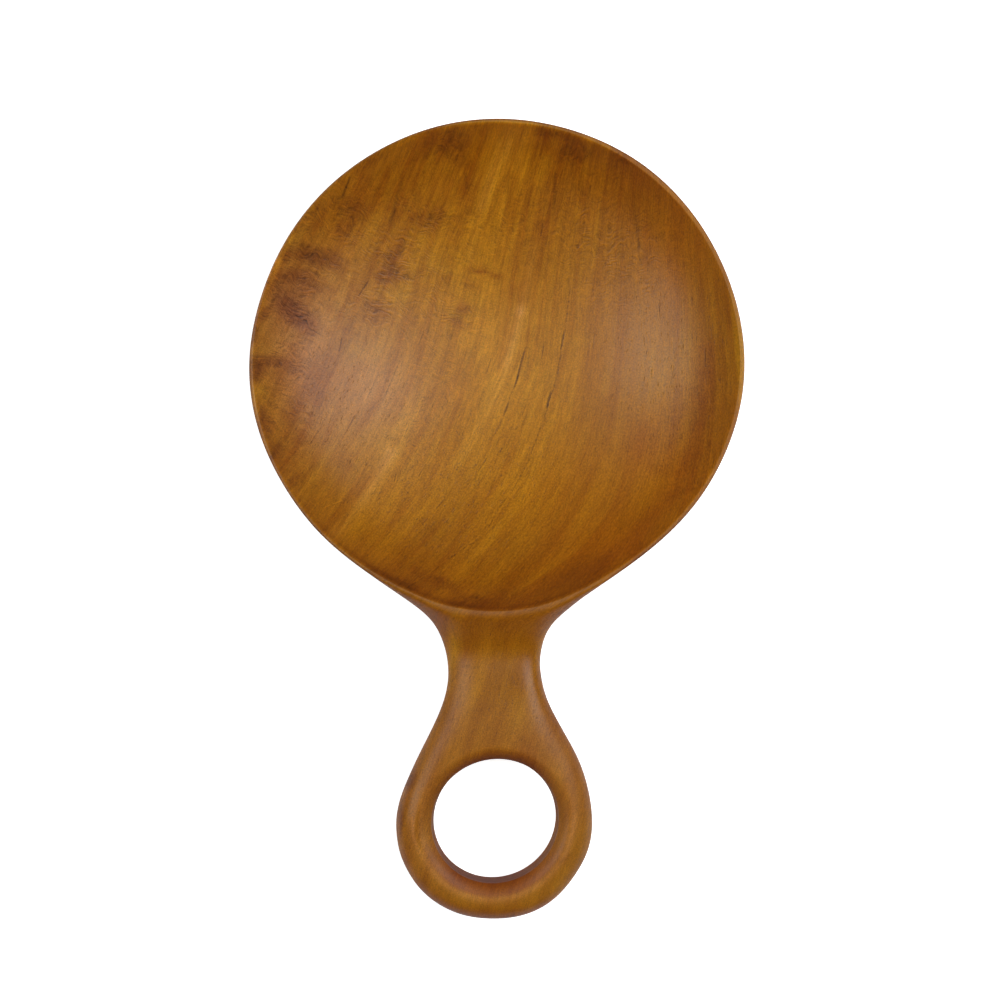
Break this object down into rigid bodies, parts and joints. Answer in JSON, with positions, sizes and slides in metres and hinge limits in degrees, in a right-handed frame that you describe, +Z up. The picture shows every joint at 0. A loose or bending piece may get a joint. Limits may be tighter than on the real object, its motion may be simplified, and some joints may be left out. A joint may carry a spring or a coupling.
{
  "type": "dairy scoop",
  "caption": "Shallow round wooden scoop with a thin lip, a waisted neck and a finger ring at the end of its handle, carved in one piece.",
  "frame": {"origin": "centre of the flat foot under the bowl, on the surface that the scoop stands on", "axes": "+Z up out of the bowl, -Y along the handle from the bowl to the finger ring, +X across"},
  "size_m": [0.15, 0.2464, 0.032],
  "materials": {
    "wood": "oiled, satin"
  },
  "bodies": {
    "root": {"scoop": "wood"}
  },
  "joints": []
}
